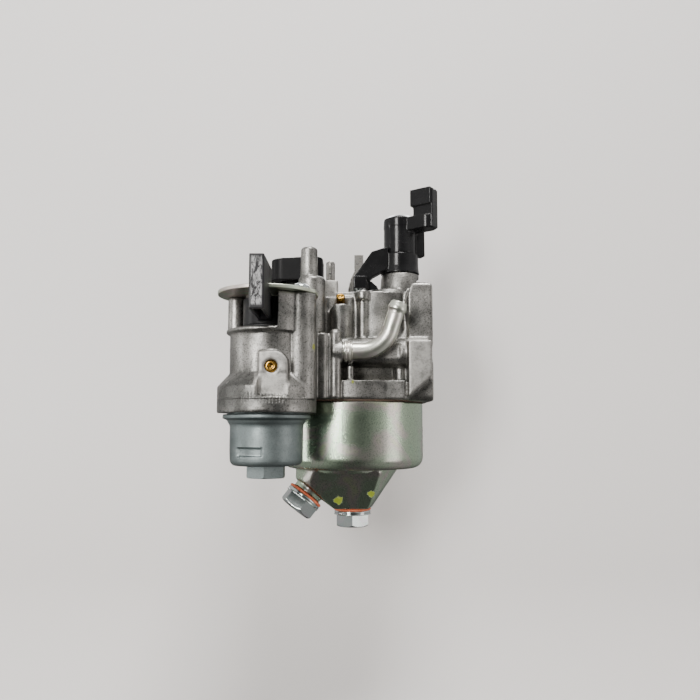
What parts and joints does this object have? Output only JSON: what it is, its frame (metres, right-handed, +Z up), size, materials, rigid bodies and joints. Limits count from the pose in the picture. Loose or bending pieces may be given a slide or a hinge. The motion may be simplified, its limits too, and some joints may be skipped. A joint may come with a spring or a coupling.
{
  "type": "carburetor",
  "caption": "Small-engine float-bowl carburetor with a fuel cock and sediment cup, hand choke, throttle lever, bent inlet tube and drainable bowl.",
  "frame": {"origin": "middle of the engine flange's face, where the throat axis meets it", "axes": "+X along the throat towards the air cleaner flange, +Z up with the float bowl below, +Y away from the fuel cock side"},
  "size_m": [0.0792, 0.1004, 0.1301],
  "materials": {
    "cast_aluminium": "satin, as cast",
    "cast_zinc": "matte, die cast",
    "zinc_sheet": "zinc plated, passivated",
    "bright_zinc": "bright zinc plated",
    "spring_steel": "bare",
    "shaft_steel": "ground",
    "brass": "machined",
    "gloss_black": "moulded, glossy",
    "matte_black": "moulded, matte",
    "scuffed_black": "moulded, scuffed",
    "fibre_red": "pressed fibre",
    "gasket_brown": "gasket sheet",
    "rubber_black": "nitrile rubber",
    "float_brown": "closed-cell foam"
  },
  "bodies": {
    "casting": {"carburetor_body": "cast_aluminium", "throttle_seal": "rubber_black", "choke_detent_spring": "spring_steel", "idle_stop_spring": "spring_steel", "lever_plate": "zinc_sheet", "lever_plate_screws": "bright_zinc", "lever_wave_spring": "spring_steel", "cock_gasket": "rubber_black", "sediment_strainer": "brass", "sediment_ring": "rubber_black", "sediment_cup": "cast_zinc", "fuel_inlet_tube": "zinc_sheet", "tube_ferrule": "bright_zinc", "float_bowl": "zinc_sheet", "bowl_gasket": "gasket_brown", "bowl_bolt": "bright_zinc", "bowl_bolt_washer": "fibre_red", "drain_bolt": "bright_zinc", "drain_washer": "fibre_red", "float_pin": "shaft_steel", "needle_seat": "brass", "main_nozzle": "brass", "main_jet": "brass", "pilot_jet": "brass", "passage_plugs": "brass", "vent_pin": "shaft_steel", "link_bracket": "bright_zinc", "bracket_screw": "bright_zinc"},
    "throttle": {"throttle_shaft": "shaft_steel", "throttle_plate": "brass", "throttle_plate_screws": "bright_zinc", "throttle_lever": "matte_black", "throttle_stop_tab": "matte_black"},
    "choke": {"choke_shaft": "shaft_steel", "choke_plate": "bright_zinc", "choke_plate_screws": "bright_zinc", "choke_lever": "gloss_black", "choke_cam": "gloss_black"},
    "fuel_cock_lever": {"fuel_lever": "scuffed_black"},
    "float_arm": {"float": "float_brown"},
    "inlet_needle": {"float_needle": "rubber_black"},
    "idle_screw": {"idle_stop_screw": "matte_black"},
    "pilot_mixture_screw": {"mixture_screw": "brass", "mixture_limiter_cap": "matte_black"}
  },
  "joints": [
    {"name": "throttle_turn", "type": "hinge", "parent": "casting", "child": "throttle", "pos_m": [0.0216, 0, 0.03], "axis": [0, 0, 1], "range_deg": [0, 75]},
    {"name": "choke_turn", "type": "hinge", "parent": "casting", "child": "choke", "pos_m": [0.062, 0.0016, 0.04], "axis": [0, 0, 1], "range_deg": [0, 88]},
    {"name": "fuel_cock_turn", "type": "hinge", "parent": "casting", "child": "fuel_cock_lever", "pos_m": [0.0142, -0.036, 0.012], "axis": [0, 0, 1], "range_deg": [-48, 8]},
    {"name": "float_swing", "type": "hinge", "parent": "casting", "child": "float_arm", "pos_m": [0.024, 0, -0.0216], "axis": [0, -1, 0], "range_deg": [0, 8]},
    {"name": "needle_lift", "type": "slide", "parent": "casting", "child": "inlet_needle", "axis": [0, 0, 1], "range_m": [0, 0.00064]},
    {"name": "idle_screw_turn", "type": "hinge", "parent": "casting", "child": "idle_screw", "pos_m": [0.0074, 0.02, 0.024], "axis": [0, 1, 0], "range_deg": [-180, 180]},
    {"name": "mixture_screw_turn", "type": "hinge", "parent": "casting", "child": "pilot_mixture_screw", "pos_m": [0.0206, 0.02, 0.011], "axis": [0, 1, 0], "range_deg": [-60, 60]}
  ],
  "couplings": [
    {"joint": "needle_lift", "follows": "float_swing", "m_per_rad": 0.0045}
  ]
}
